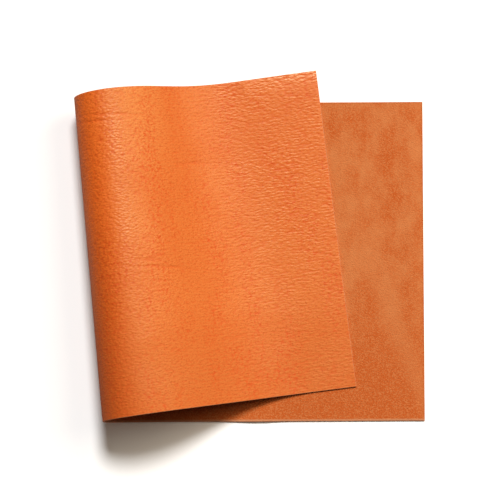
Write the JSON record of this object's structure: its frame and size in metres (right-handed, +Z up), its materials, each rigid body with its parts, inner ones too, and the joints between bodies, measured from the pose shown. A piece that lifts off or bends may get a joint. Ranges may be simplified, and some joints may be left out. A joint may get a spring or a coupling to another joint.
{
  "type": "folded harness leather panel",
  "caption": "Rectangular cut of smooth tan-orange leather, folded over onto itself through an open, slightly conical loop, rough side inside, lying flat on the surface.",
  "frame": {"origin": "on the floor, below the middle of the folded panel's box", "axes": "+X to the right along the lower layer, away from the fold; +Y to the back along the fold; +Z up"},
  "size_m": [0.3312, 0.3358, 0.082],
  "materials": {
    "leather": "dyed and waxed grain side with a satin sheen, matt napped flesh side, bare cut edges"
  },
  "bodies": {
    "root": {"leather_panel": "leather"}
  },
  "joints": []
}
